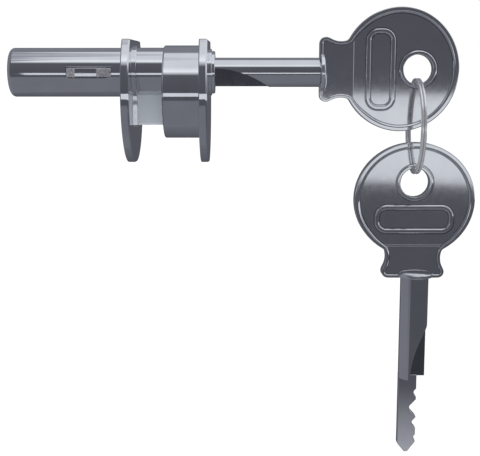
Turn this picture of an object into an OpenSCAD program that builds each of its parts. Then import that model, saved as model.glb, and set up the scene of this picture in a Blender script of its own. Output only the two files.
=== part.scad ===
// Plunger lock for a sliding cabinet door, with two keys on a ring.
// The origin lies on the drum's axis, in the plane where the front flange seats on the panel.
// X runs towards the keys, Z is up, and the side seen first faces minus Y.

/* [Housing] */
// Diameter of the drum, which fills the hole in the panel
drum_d = 19; // [18:0.1:22]
// Length of the drum behind the front flange
drum_l = 7.5; // [6:0.1:9]
// Thickness of the panel held between the two flanges
panel_t = 13.5; // [13:0.1:16]
// Diameter of the two flanges
flange_d = 29.1; // [27:0.1:34]
// Thickness of the two flanges
flange_t = 1.7; // [1.5:0.1:2.4]
// Height of the flat on the flanges above the top of the drum
flange_flat = 1.1; // [0.8:0.05:2]
// Thinnest wall of the drum, above the plunger
drum_wall = 0.46; // [0.4:0.02:0.8]
// Thickness of the web that carries the rear plate
web_t = 4.4; // [4:0.1:5]
// Metal of the web left above, between and below its bores
web_land = 0.6; // [0.5:0.05:1]
// Height of the lip on the rear plate
lip_h = 0.55; // [0.4:0.05:0.8]
// Width of the lip on the rear plate
lip_w = 0.4; // [0.3:0.05:0.6]
// Thread diameter of the rear plate's screw
screw_d = 2; // [1.6:0.1:2.2]
// Depth of the screw in the web
screw_grip = 5.2; // [4:0.1:5.6]

/* [Plunger] */
// Diameter of the plunger
plunger_d = 10; // [9.4:0.1:10.6]
// Wall of the plunger's sleeve
sleeve_wall = 1.4; // [1.3:0.05:1.6]
// Travel of the plunger when it springs out
stroke = 8; // [7:0.1:8.5]
// Distance from the lug to the tip of the plunger
lug_to_tip = 12.1; // [8:0.1:20]
// Radius of the rounded tip
tip_round = 1; // [0.5:0.1:2]
// Depth of the nose cap's first ring inside the plunger's surface
nose_step = 0.25; // [0.1:0.05:0.35]
// Length of the nose cap's first ring
nose_l = 0.7; // [0.5:0.05:1.2]
// Depth of the nose cap's front ring inside its first ring
rim_step = 0.4; // [0.2:0.05:0.6]
// Length of the nose cap's front ring
rim_l = 0.65; // [0.5:0.05:1.2]
// Wall of the nose cap's spigot, round the key's shank
spigot_wall = 0.5; // [0.45:0.05:0.7]
// Diameter of the guide pin
pin_d = 1.4; // [1.2:0.05:1.6]

/* [Locking lug] */
// Length of the lug along the plunger
lug_l = 9.1; // [8:0.1:10]
// Width of the lug
lug_w = 1.85; // [1.6:0.05:2.2]
// Length of the lug's raised crown
crown_l = 4.65; // [4:0.05:5]
// Length of the slope in front of the crown
slope_l = 2.8; // [2.4:0.05:3]
// Height of the crown above the plunger
crown_h = 0.45; // [0.3:0.05:0.5]
// Depth of the lug's ends below the plunger's surface
lug_sink = 0.12; // [0.05:0.01:0.2]
// Distance from the rear plate to the lug
lug_gap = 2.8; // [2.4:0.1:4]

/* [Cylinder] */
// Distance from one wafer to the next
wafer_pitch = 3.4; // [3.2:0.05:3.6]
// Thickness of a wafer
wafer_t = 0.8; // [0.6:0.05:1]
// Width of a wafer
wafer_w = 4.4; // [4.2:0.05:4.6]
// Diameter of the spindle behind the plug
spindle_d = 3; // [2.6:0.1:3.1]

/* [Springs] */
// Outside diameter of the return spring
return_d = 2; // [1.8:0.05:2.1]
// Wire of the return spring
return_wire = 0.3; // [0.25:0.01:0.35]
// Number of turns of the return spring
return_turns = 8; // [6:1:9]
// Outside diameter of a wafer spring
wafer_spring_d = 0.78; // [0.6:0.02:0.8]
// Wire of a wafer spring
wafer_wire = 0.14; // [0.1:0.01:0.16]
// Number of turns of a wafer spring
wafer_turns = 5; // [4:1:6]
// Thickness of the leaf spring behind the lug
leaf_t = 0.15; // [0.1:0.01:0.2]

/* [Key] */
// Length of the shank
shank_l = 22.2; // [20:0.1:26]
// Length of the blade
blade_l = 16.8; // [16:0.1:18]
// Thickness of the blade
blade_t = 1.7; // [1.5:0.05:1.8]
// Reach of the cut edge of the blade past the shank's axis
blade_edge = 0.95; // [0.8:0.05:1.1]
// Height of the bow's middle above the shank's axis
bow_rise = 0.6; // [0:0.05:1]
// Half length of the oval bow, along the key
bow_a = 12.1; // [11.5:0.05:14]
// Half width of the oval bow, across the key
bow_b = 12.7; // [12:0.05:14]
// Distance from the base of the bow to the middle of the oval
bow_middle = 16.7; // [16:0.1:18]
// Distance from the middle of the oval to the ring hole
hole_offset = 3.65; // [3:0.05:4.5]
// Diameter of the ring hole
hole_d = 6.1; // [5.9:0.1:7]
// Thickness of the bow at its rim and beads
bow_t = 2.4; // [2:0.1:2.6]
// Depth of the sunk field on each face of the bow
field_depth = 0.25; // [0.2:0.05:0.4]
// Depth of the field on the neck, up to a step across the key
neck_depth = 0.12; // [0.05:0.01:0.18]
// Width of the bow's rim
rim_w = 1; // [0.8:0.05:1.4]
// Width of the oblong raised bead
bead_w = 0.6; // [0.4:0.05:0.8]
// Width of the raised bead round the ring hole
hole_bead = 0.85; // [0.6:0.05:1]
// Width of the base of the bow
base_w = 13.3; // [12:0.1:14]
// Width of the waist behind the base
waist_w = 11.5; // [10.5:0.1:11.8]
// Distance from the base to the waist
waist_x = 4.4; // [4:0.1:4.8]
// Length of the oblong bead, across the key
oblong_l = 16.4; // [14:0.1:17]
// Width of the oblong bead, along the key
oblong_w = 5.75; // [5:0.05:6]
// Distance from the base to the middle of the oblong bead
oblong_x = 12.6; // [12.2:0.1:13]
// Radius of the cutter that mills the shank
mill_r = 20; // [16:0.5:24]
// Reach of that cut past the shank's axis
mill_past = 0.85; // [0.6:0.05:1.2]
// Diameter of the collar at the root of the shank
collar_d = 7.1; // [6.6:0.1:8]
// Thickness of that collar
collar_t = 0.5; // [0.3:0.05:0.8]
// Length of the cone that runs from the collar into the bow
cone_l = 1; // [0.6:0.05:1.5]

/* [Key ring] */
// Inside radius of the ring
ring_in = 9; // [8.9:0.05:11]
// Wire of the ring, seen edge on
ring_wire = 1; // [0.8:0.05:1.2]

/* [Clearances] */
// Radial clearance of the plunger and the plug in their bores
run_clear = 0.04; // [0.02:0.01:0.08]
// Clearance round pieces that slide in slots
slot_clear = 0.06; // [0.04:0.01:0.1]
// Clearance between pieces that are fixed together
fix_clear = 0.01; // [0.005:0.005:0.03]
// End clearance of pieces that turn
end_clear = 0.1; // [0.05:0.01:0.2]
// Gap where the ring hangs in a key
hang_clear = 0.3; // [0.2:0.05:0.5]

/* [Hidden] */
$fn = 64;
nickel = [0.62, 0.64, 0.68];
steel = [0.72, 0.73, 0.75];
brass = [0.80, 0.66, 0.36];
spring_steel = [0.45, 0.46, 0.50];
past = 1;

// Depths of the notches in the blade, from the shank to the tip, one for each wafer
cut_depths = [0.5, 1.4, 0.75, 0.3];
wafers = len(cut_depths);

// Heights of the plunger and of the two bores in the web below it
bore_d = plunger_d + 2 * run_clear;
axis_z = drum_d / 2 - drum_wall - bore_d / 2;
spring_bore_d = return_d + 5 * slot_clear;
spring_z = axis_z - bore_d / 2 - web_land / 3 - spring_bore_d / 2;
screw_z = spring_z - spring_bore_d / 2 - web_land - screw_d / 2;
web_bottom = screw_z - screw_d / 2 - web_land;
flat_z = drum_d / 2 + flange_flat;
screw_head_d = 1.9 * screw_d;
screw_head_l = (screw_head_d - screw_d) / 2;

// Places along the lock, from the flanges back to the tip
front_x = flange_t;
plate_x = -panel_t;
plate_back = plate_x - flange_t;
slot_wall = 0.75 * flange_t;
slot_end = front_x - slot_wall;
pin_x = slot_end - end_clear - pin_d / 2 - stroke;
nose_seat = end_clear;
sleeve_front = front_x - nose_seat;
nose_front = sleeve_front + nose_l + rim_l;
spigot_l = 1.2;
shank_seat = 0.65;
shank_end = nose_front - shank_seat;
sleeve_bore = plunger_d - 2 * sleeve_wall;
shank_d = sleeve_bore - 2 * spigot_wall - 2 * end_clear;
nose_d = plunger_d - 2 * nose_step;
rim_d = nose_d - 2 * rim_step;
plug_d = sleeve_bore - 2 * run_clear;
plug_front = sleeve_front - spigot_l - end_clear;
blade_tip = shank_end - blade_l;
plug_end_wall = 1.1;
tongue_w = 1;
tongue_l = plug_end_wall / 2;
plug_back = blade_tip - 2.5 * end_clear - plug_end_wall;
lug_margin = 0.8;
spindle_head = 1.2;
bush_front = min(plug_back - spindle_head - 2 * end_clear, plate_back - lug_gap + lug_margin);
lug_front = bush_front - lug_margin;
lug_back = lug_front - lug_l;
bush_back = lug_back - lug_margin - 3 * end_clear;
bush_floor = 0.5;
bore_end = bush_back - end_clear;
tip_x = lug_back - lug_to_tip;

// Places across the lug, measured from the plunger's axis
lug_foot_t = 0.4;
lug_foot_past = 1.15;
lug_foot_room = 0.45;
lug_foot_y = sleeve_bore / 2 - lug_foot_room;
lug_inner = lug_foot_y - lug_foot_t;
lug_travel = 0.09 * stroke;
bush_flat = lug_inner - lug_travel - leaf_t - end_clear;
crown_r = 8;

// Springs at rest
return_l = pin_x - pin_d / 2 - plate_x - end_clear;
spring_floor = -1.7;
spring_ledge = 0.2;
wafer_spring_y = wafer_w / 2 - wafer_spring_d / 2 - slot_clear;
wafer_spring_l = spring_ledge - spring_floor - end_clear;

// Key places
hole_x = bow_middle + hole_offset;
key_1_base = shank_end + shank_l;
oblong_r = 2.4;
ridge_x = 7;
collar_x = -0.1;
bead_d = hole_d + 2 * hole_bead;
cut_flat = 0.7;
cut_slope = 1.1;

// Ring and second key, hanging in a row below the first key
ring_out = ring_in + ring_wire;
ring_x = key_1_base + hole_x;
ring_z = axis_z + bow_rise - hole_d / 2 + hang_clear - ring_in;
key_2_hole_z = ring_z - ring_in + hang_clear - hole_d / 2;
key_2_base_z = key_2_hole_z - hole_x;

// Turns a solid that stands on the XY plane so that it runs along X
module along_x(x, z = 0) {
    translate([x, 0, z])
        rotate([0, 90, 0])
            children();
}

// Extrudes an outline drawn in X and Z by an equal amount to both sides
module slab(t) {
    rotate([90, 0, 0])
        linear_extrude(t, center = true)
            children();
}

module x_block(x0, x1, y0, y1, z0, z1) {
    translate([x0, y0, z0])
        cube([x1 - x0, y1 - y0, z1 - z0]);
}

// Round disc with a flat on top, shared by both flanges
module flange(x) {
    intersection() {
        along_x(x)
            cylinder(h = flange_t, d = flange_d);
        x_block(x - past, x + flange_t + past, -flange_d, flange_d, -flange_d, flat_z);
    }
}

// Helical wire of round section, standing on the XY plane
module coil(d, wire, length, turns, steps, sides) {
    mean = (d - wire) / 2;
    rings = turns * steps;
    rise = length - wire;
    points = [
        for (i = [0:rings])
            let (a = 360 * i / steps, z = wire / 2 + rise * i / rings)
                for (j = [0:sides - 1])
                    let (b = 360 * j / sides, r = mean + wire / 2 * cos(b))
                        [r * cos(a), r * sin(a), z + wire / 2 * sin(b)]
    ];
    skin = [
        for (i = [0:rings - 1])
            for (j = [0:sides - 1])
                let (k = (j + 1) % sides)
                    [i * sides + j, (i + 1) * sides + j, (i + 1) * sides + k, i * sides + k]
    ];
    first = [for (j = [0:sides - 1]) j];
    last = [for (j = [sides - 1:-1:0]) rings * sides + j];
    polyhedron(points, concat(skin, [first], [last]), convexity = 10);
}

module plunger_bore() {
    along_x(plate_back - past, axis_z)
        cylinder(h = front_x - plate_back + 2 * past, d = bore_d);
}

// Housing

module lock_body() {
    pin_slot = pin_d / 2 + slot_clear;
    color(nickel)
        difference() {
            union() {
                flange(0);
                along_x(-drum_l)
                    cylinder(h = drum_l, d = drum_d);
                x_block(plate_x, -drum_l, -web_t / 2, web_t / 2, web_bottom, axis_z - plunger_d / 4);
            }
            plunger_bore();
            along_x(plate_x - past, spring_z)
                cylinder(h = slot_end - plate_x + past, d = spring_bore_d);
            x_block(plate_x - past, slot_end, -pin_slot, pin_slot, spring_z, axis_z);
            along_x(plate_x - past, screw_z)
                cylinder(h = screw_grip + past + end_clear, d = screw_d + 2 * fix_clear);
        }
}

module rear_plate() {
    socket = web_t / 2 + fix_clear;
    lip_y = socket + lip_w;
    lip_bottom = web_bottom - fix_clear - lip_w;
    color(nickel)
        difference() {
            union() {
                flange(plate_back);
                along_x(plate_x, axis_z)
                    cylinder(h = lip_h, d = bore_d + 2 * lip_w);
                x_block(plate_x, plate_x + lip_h, -lip_y, lip_y, lip_bottom, axis_z);
            }
            plunger_bore();
            x_block(plate_x, plate_x + past, -socket, socket, web_bottom - fix_clear, axis_z);
            along_x(plate_back - past, screw_z)
                cylinder(h = flange_t + 2 * past, d = screw_d + 2 * slot_clear);
            along_x(plate_back, screw_z)
                cylinder(
                    h = screw_head_l,
                    d1 = screw_head_d + 2 * slot_clear,
                    d2 = screw_d + 2 * slot_clear
                );
        }
}

module plate_screw() {
    drive_w = 0.5;
    drive_depth = 0.5;
    color(steel)
        difference() {
            union() {
                along_x(plate_back, screw_z)
                    cylinder(h = screw_head_l, d1 = screw_head_d, d2 = screw_d);
                along_x(plate_back, screw_z)
                    cylinder(h = flange_t + screw_grip, d = screw_d);
            }
            translate([plate_back, 0, screw_z])
                cube([2 * drive_depth, drive_w, 2 * screw_head_d], center = true);
        }
}

module return_spring() {
    color(spring_steel)
        along_x(plate_x + end_clear / 2, spring_z)
            coil(return_d, return_wire, return_l, return_turns, 14, 6);
}

// Plunger

module plunger_sleeve() {
    window = lug_w / 2 + slot_clear;
    groove_w = wafer_w / 2 + slot_clear;
    groove_depth = 0.6;
    groove_back = shank_end - (wafers + 0.5) * wafer_pitch;
    length = sleeve_front - tip_x;
    radius = plunger_d / 2;
    color(nickel)
        difference() {
            along_x(tip_x, axis_z)
                rotate_extrude() {
                    translate([0, tip_round])
                        square([radius, length - tip_round]);
                    square([radius - tip_round, length]);
                    translate([radius - tip_round, tip_round])
                        intersection() {
                            circle(tip_round);
                            translate([0, -tip_round])
                                square(tip_round);
                        }
                }
            along_x(bore_end, axis_z)
                cylinder(h = sleeve_front - bore_end + past, d = sleeve_bore);
            x_block(lug_back - slot_clear, lug_front + slot_clear, -plunger_d, 0,
                axis_z - window, axis_z + window);
            intersection() {
                x_block(groove_back, sleeve_front - spigot_l, -groove_w, groove_w,
                    axis_z - radius, axis_z + radius);
                along_x(tip_x, axis_z)
                    cylinder(h = length, d = sleeve_bore + 2 * groove_depth);
            }
            translate([pin_x, 0, axis_z - plunger_d])
                cylinder(h = plunger_d, d = pin_d + 2 * fix_clear);
        }
}

module nose_cap() {
    color(nickel)
        difference() {
            union() {
                along_x(sleeve_front, axis_z)
                    cylinder(h = nose_l, d = nose_d);
                along_x(sleeve_front + nose_l, axis_z)
                    cylinder(h = rim_l, d = rim_d);
                along_x(sleeve_front - spigot_l, axis_z)
                    cylinder(h = spigot_l, d = sleeve_bore - 2 * fix_clear);
            }
            along_x(sleeve_front - spigot_l - past, axis_z)
                cylinder(h = spigot_l + nose_l + rim_l + 2 * past, d = shank_d + 2 * end_clear);
        }
}

module guide_pin() {
    pin_top = axis_z - sleeve_bore / 2 - end_clear;
    pin_bottom = spring_z - spring_bore_d / 4;
    color(steel)
        translate([pin_x, 0, pin_bottom])
            cylinder(h = pin_top - pin_bottom, d = pin_d);
}

// Bar with a crowned top and sloping ends, and a wide foot that keeps it in its window
module locking_lug() {
    surface = plunger_d / 2;
    crown_front = lug_front - slope_l;
    crown_back = crown_front - crown_l;
    foot = lug_foot_past + lug_w / 4;
    foot_back = lug_back - lug_margin / 2;
    foot_front = lug_front + lug_margin / 2;
    color(steel)
        translate([0, 0, axis_z]) {
            intersection() {
                translate([0, 0, -lug_w / 2])
                    linear_extrude(lug_w)
                        polygon([
                            [lug_back, -lug_inner],
                            [lug_back, lug_sink - surface],
                            [crown_back, -surface - crown_h],
                            [crown_front, -surface - crown_h],
                            [lug_front, lug_sink - surface],
                            [lug_front, -lug_inner]
                        ]);
                translate([lug_back - past, crown_r - surface - crown_h, 0])
                    rotate([0, 90, 0])
                        cylinder(h = lug_l + 2 * past, r = crown_r);
            }
            x_block(foot_back, foot_front, -lug_foot_y, -lug_inner, -foot, foot);
        }
}

// Bowed leaf, with its ends on the bush and its crown against the lug
module lug_spring() {
    half = 0.42 * lug_l;
    gap = slot_clear / 2;
    bow = lug_inner - gap - leaf_t - bush_flat - gap;
    inner_r = (half * half + bow * bow) / (2 * bow);
    crown_y = -lug_inner + gap + leaf_t;
    color(spring_steel)
        intersection() {
            translate([(lug_front + lug_back) / 2, crown_y + inner_r, axis_z])
                difference() {
                    cylinder(h = lug_w, r = inner_r + leaf_t, center = true, $fn = 180);
                    cylinder(h = lug_w + past, r = inner_r, center = true, $fn = 180);
                }
            x_block(lug_back, lug_front, -lug_inner, -bush_flat - gap, axis_z - lug_w, axis_z + lug_w);
        }
}

// Bearing of the spindle, fixed in the sleeve, with a flat for the leaf spring
module tail_bush() {
    length = bush_front - bush_back;
    color(brass)
        difference() {
            along_x(bush_back, axis_z)
                cylinder(h = length, d = sleeve_bore - 2 * fix_clear);
            along_x(bush_back + bush_floor, axis_z)
                cylinder(h = length, d = spindle_d + 2 * run_clear);
            x_block(bush_back - past, bush_front + past, -plunger_d, -bush_flat,
                axis_z - plunger_d, axis_z + plunger_d);
        }
}

// Cylinder

// Tail of the plug: a head with a tongue, and a spindle with a flat as its cam
module cam_spindle() {
    head_back = bush_front + end_clear;
    head_front = plug_back - end_clear;
    cam_flat = spindle_d / 4;
    tail_end = bush_back + bush_floor + end_clear;
    color(brass)
        difference() {
            union() {
                along_x(head_back, axis_z)
                    cylinder(h = head_front - head_back, d = plug_d - 2 * end_clear);
                along_x(tail_end, axis_z)
                    cylinder(h = head_front - tail_end, d = spindle_d);
                x_block(head_back, plug_back + tongue_l, -tongue_w / 2, tongue_w / 2,
                    axis_z - spindle_d / 2, axis_z + spindle_d / 2);
            }
            x_block(lug_back + lug_margin, lug_front - lug_margin, -spindle_d, -cam_flat,
                axis_z - spindle_d, axis_z + spindle_d);
        }
}

// Place of a wafer along the lock, counted from the key
function wafer_x(i) = shank_end - i * wafer_pitch;

module plug() {
    way_y = blade_t / 2 + slot_clear;
    way_top = shank_d / 2 + slot_clear;
    way_bottom = blade_edge + slot_clear;
    slot_x = wafer_t / 2 + slot_clear;
    slot_y = wafer_w / 2 + slot_clear;
    tongue_y = tongue_w / 2 + slot_clear;
    tongue_z = spindle_d / 2 + slot_clear;
    leg_y = wafer_spring_y - wafer_spring_d / 2 - slot_clear;
    color(brass)
        difference() {
            along_x(plug_back, axis_z)
                cylinder(h = plug_front - plug_back, d = plug_d);
            x_block(plug_back + plug_end_wall, plug_front + past, -way_y, way_y,
                axis_z - way_bottom, axis_z + way_top);
            for (i = [1:wafers]) {
                x_block(wafer_x(i) - slot_x, wafer_x(i) + slot_x, -slot_y, leg_y,
                    axis_z - plug_d, axis_z + plug_d);
                x_block(wafer_x(i) - slot_x, wafer_x(i) + slot_x, leg_y - slot_clear, slot_y,
                    axis_z + spring_floor, axis_z + plug_d);
            }
            x_block(plug_back - past, plug_back + tongue_l + slot_clear, -tongue_y, tongue_y,
                axis_z - tongue_z, axis_z + tongue_z);
        }
}

// Plate with a window for the blade and a short leg that stands on its spring
module wafer(i) {
    window_y = blade_t / 2 + 2 * slot_clear;
    window_top = shank_d / 2 + slot_clear;
    window_bottom = blade_edge + 2 * slot_clear;
    leg_y = wafer_spring_y - wafer_spring_d / 2 - slot_clear;
    color(brass)
        translate([wafer_x(i), 0, axis_z])
            difference() {
                intersection() {
                    cube([wafer_t, wafer_w, plunger_d], center = true);
                    along_x(-wafer_t)
                        cylinder(h = 2 * wafer_t, d = plug_d - 2 * slot_clear);
                }
                x_block(-wafer_t, wafer_t, -window_y, window_y, -window_bottom, window_top);
                x_block(-wafer_t, wafer_t, leg_y - 2 * slot_clear, wafer_w, -plunger_d, spring_ledge);
            }
}

module wafer_spring(i) {
    color(spring_steel)
        translate([wafer_x(i), wafer_spring_y, axis_z + spring_floor + end_clear / 2])
            coil(wafer_spring_d, wafer_wire, wafer_spring_l, wafer_turns, 10, 5);
}

// Keys

// Oval outline of the bow, drawn inside its edge by an inset
module oval(inset) {
    steps = 96;
    polygon([
        for (i = [0:steps - 1])
            let (a = 360 * i / steps)
                [bow_middle + (bow_a - inset) * cos(a), (bow_b - inset) * sin(a)]
    ]);
}

// Neck between the base and the oval, with rounded corners and hollow sides
module neck(inset) {
    corner = 1.3;
    half = base_w / 2;
    hollow = 4.2;
    neck_end = ridge_x + slot_clear;
    difference() {
        union() {
            translate([inset, corner - half])
                square([neck_end - inset, base_w - 2 * corner]);
            translate([corner, inset - half])
                square([neck_end - corner, base_w - 2 * inset]);
            for (side = [-1, 1])
                translate([corner, side * (half - corner)])
                    circle(corner - inset);
        }
        for (side = [-1, 1])
            translate([waist_x, side * (waist_w / 2 + hollow)])
                circle(hollow + inset);
    }
}

// Whole outline of the bow, drawn inside its edge by an inset
module outline(inset) {
    oval(inset);
    neck(inset);
}

// Rounded rectangle about the oblong bead's middle
module oblong(inset) {
    length = oblong_l - 2 * inset;
    width = oblong_w - 2 * inset;
    r = oblong_r - inset;
    translate([oblong_x, 0]) {
        square([width - 2 * r, length], center = true);
        square([width, length - 2 * r], center = true);
        for (x = [-1, 1], y = [-1, 1])
            translate([x * (width / 2 - r), y * (length / 2 - r)])
                circle(r);
    }
}

module bow() {
    difference() {
        union() {
            slab(bow_t - 2 * field_depth)
                outline(0);
            slab(bow_t - 2 * neck_depth)
                intersection() {
                    outline(0);
                    translate([0, -bow_b])
                        square([ridge_x, 2 * bow_b]);
                }
            slab(bow_t)
                difference() {
                    outline(0);
                    outline(rim_w);
                }
            slab(bow_t)
                difference() {
                    oblong(0);
                    oblong(bead_w);
                }
            slab(bow_t)
                translate([hole_x, 0])
                    circle(d = bead_d);
        }
        slab(2 * bow_t)
            translate([hole_x, 0])
                circle(d = hole_d);
    }
}

// Edge of the blade from the shank to the tip, with one notch for each wafer
function notch(i) =
    let (x = -shank_l - i * wafer_pitch, d = cut_depths[i - 1], reach = cut_flat / 2 + cut_slope * d)
        [
            [x + reach, -blade_edge],
            [x + cut_flat / 2, d - blade_edge],
            [x - cut_flat / 2, d - blade_edge],
            [x - reach, -blade_edge]
        ];

module blade() {
    tip = -shank_l - blade_l;
    back_taper = 1.9;
    edge_taper = 2.2;
    tip_high = 1.4;
    tip_low = 0.7;
    root = -shank_l + cut_flat;
    slab(blade_t)
        polygon(concat(
            [[root, shank_d / 2 - slot_clear], [root, -blade_edge]],
            [for (i = [1:wafers]) each notch(i)],
            [[tip + edge_taper, -blade_edge], [tip, tip_low], [tip, tip_high]],
            [[tip + back_taper, shank_d / 2 - slot_clear]]
        ));
}

// Shank with a quarter milled away by a round cutter, down to the far face of the blade
module shank() {
    difference() {
        union() {
            along_x(-shank_l)
                cylinder(h = shank_l, d = shank_d);
            along_x(collar_x)
                cylinder(h = collar_t, d = collar_d);
            along_x(collar_x + collar_t)
                cylinder(h = cone_l, d1 = collar_d, d2 = bow_t);
        }
        translate([-shank_l, blade_t / 2, mill_past - mill_r])
            rotate([90, 0, 0])
                cylinder(h = shank_d, r = mill_r, $fn = 180);
    }
}

// Key with its shank along X from the origin, its bow towards X and its cut edge down
module key() {
    translate([0, 0, bow_rise])
        bow();
    shank();
    blade();
}

module key_1() {
    color(nickel)
        translate([key_1_base, 0, axis_z])
            key();
}

// Two turns of flat wire side by side, with a groove between them inside and out
module key_ring() {
    half = ring_wire / 2;
    groove = 0.15 * ring_wire;
    color(steel)
        along_x(ring_x, ring_z)
            rotate_extrude($fn = 96)
                polygon([
                    [ring_in, -half], [ring_out, -half],
                    [ring_out, -groove], [ring_out - groove, 0], [ring_out, groove],
                    [ring_out, half], [ring_in, half],
                    [ring_in, groove], [ring_in + groove, 0], [ring_in, -groove]
                ]);
}

module key_2() {
    color(nickel)
        translate([ring_x + bow_rise, 0, key_2_base_z])
            rotate([0, -90, 0])
                key();
}

lock_body();
rear_plate();
plate_screw();
return_spring();
plunger_sleeve();
nose_cap();
guide_pin();
locking_lug();
lug_spring();
tail_bush();
cam_spindle();
plug();
for (i = [1:wafers]) {
    wafer(i);
    wafer_spring(i);
}
key_1();
key_ring();
key_2();
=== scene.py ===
import math

import bpy
import numpy as np
from mathutils import Matrix, Vector
from mathutils.geometry import delaunay_2d_cdt


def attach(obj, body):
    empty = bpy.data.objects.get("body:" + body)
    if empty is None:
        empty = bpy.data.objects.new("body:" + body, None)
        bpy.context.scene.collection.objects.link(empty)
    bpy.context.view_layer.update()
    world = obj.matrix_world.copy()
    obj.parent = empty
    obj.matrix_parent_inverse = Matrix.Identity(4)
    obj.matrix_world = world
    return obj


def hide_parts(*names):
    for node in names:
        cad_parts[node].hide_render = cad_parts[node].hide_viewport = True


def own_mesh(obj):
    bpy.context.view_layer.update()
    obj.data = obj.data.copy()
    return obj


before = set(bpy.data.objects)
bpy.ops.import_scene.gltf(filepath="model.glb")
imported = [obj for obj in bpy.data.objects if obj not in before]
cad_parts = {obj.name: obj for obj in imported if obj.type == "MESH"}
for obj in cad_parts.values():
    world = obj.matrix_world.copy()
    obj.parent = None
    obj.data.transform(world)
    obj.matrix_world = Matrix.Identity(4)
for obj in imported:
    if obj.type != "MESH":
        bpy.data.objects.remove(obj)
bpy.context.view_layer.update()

# All lengths below are in millimetres until a piece is built.
MM = 0.001
AXIS_Z = 4.0

# Housing
FLANGE_R = 14.55
FLANGE_FLAT = 10.6
FLANGE_T = 1.7
PLATE_X = -13.5
DRUM_R = 9.5
DRUM_L = 7.5
BORE_R = 5.04
EDGE_R = 0.22
SLOT_END = 0.425
SLOT_Y = 0.76
SPRING_R = 1.15
SPRING_Z = -2.39
WEB_Y = 2.2
WEB_BOTTOM = -6.74
SCREW_Z = -5.14
SINK_R = 1.1
SINK_DEPTH = 0.9
BEVEL_IN = 0.18
BEVEL_BACK = 0.32
FRONT_INSET = 0.27
DRUM_EDGE = 0.35
WEB_EDGE = 0.45
OVERLAP = 0.1
BORE_BREAK = 0.2

# Raised lip of the rear plate
LIP_R = 5.44
LIP_Y = 2.61
LIP_BOTTOM = -7.15
LIP_CORNER = 0.5
LIP_T = 0.55
LIP_W = 0.4
LIP_EDGE = 0.15

# Plunger
PLUNGER_R = 5.0
PLUNGER_TIP = -39.25
PLUNGER_FRONT = 1.6
SLEEVE_R = 3.6
SLEEVE_END = -28.35
LUG_BACK = -27.15
LUG_FRONT = -18.05
LUG_GAP = 0.06
LUG_HALF = 0.925
LUG_CREST = 5.45
LUG_END = 4.88
LUG_EDGE = 0.16
LUG_BEND = 1.2
WINDOW_EDGE = 0.22
LUG_FOOT = -2.75
LEAF_SEAT = -1.81
TIP_R = 1.0
FRONT_EDGE = 0.2
# Just off the axis, so that a turned end still has a width
AXIS_GAP = 0.001

# Keys, in their own frame: base of the bow at the origin, bow along +X
SHANK_R = 3.0
SHANK_L = 22.2
BOW_RISE = 0.6
BOW_X = 16.7
BOW_A = 12.1
BOW_B = 12.7
BOW_HALF = 1.2
FIELD = 0.95
NECK_FIELD = 1.08
STEP_X = 7.0
HOLE_X = 20.35
HOLE_R = 3.05
OBLONG_X = 12.6
MILL_Y = 0.85
MILL_R = 20
MILL_CENTRE_Z = -19.15
MILL_LAST = -10.57
MILL_END = -10.4
COLLAR_IN = 2.4
BLADE_TOP = 2.94
BLADE_EDGE = -0.95
BLADE_TIP = -39.0
BLADE_ROOT = -21.5
BLADE_HALF = 0.85
NOTCH_PITCH = 3.4
NOTCH_DEPTHS = (0.5, 1.4, 0.75, 0.3)
NOTCH_FLAT = 0.35
NOTCH_FLANK = 1.1
NOTCH_R = 0.12
RIM_LAND = 0.72
RIM_W = 1.18
NECK_RIM = 0.62
FOOT_W = 0.2
NECK_TILT = 0.006

# Places of the keys and the ring
FIRST_KEY_X = 24.5
SECOND_KEY_X = 45.45
SECOND_KEY_Z = -39.25
RING_X = 44.85
RING_Z = -7.15
RING_R = 9.5
WIRE_X = 0.28
WIRE_RADIAL = 0.48
WIRE_EDGE = 0.22
LAYER_X = 0.295


def ease(value, low, high):
    t = min(1.0, max(0.0, (value - low) / (high - low)))
    return t * t * (3 - 2 * t)


def arc(cu, cv, r, start, end, step=4.0):
    """Points along an arc, angles in degrees."""
    n = max(2, int(abs(end - start) / step + 0.5))
    turns = [math.radians(start + (end - start) * i / n) for i in range(n + 1)]
    return [(cu + r * math.cos(t), cv + r * math.sin(t)) for t in turns]


def rounded(corners, closed=True, step=10.0):
    """A line through corners (u, v, radius), with an arc in place of each corner."""
    points = []
    n = len(corners)
    for i, (u, v, r) in enumerate(corners):
        if r == 0 or (not closed and i in (0, n - 1)):
            points.append((u, v))
            continue
        here = Vector((u, v))
        back = (Vector(corners[i - 1][:2]) - here).normalized()
        ahead = (Vector(corners[(i + 1) % n][:2]) - here).normalized()
        half = back.angle(ahead) / 2
        centre = here + (back + ahead).normalized() * (r / math.sin(half))
        first = here + back * (r / math.tan(half)) - centre
        last = here + ahead * (r / math.tan(half)) - centre
        start = math.degrees(math.atan2(first.y, first.x))
        end = math.degrees(math.atan2(last.y, last.x))
        turn = (end - start + 180) % 360 - 180
        points += arc(centre.x, centre.y, r, start, start + turn, step)
    return points


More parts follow.
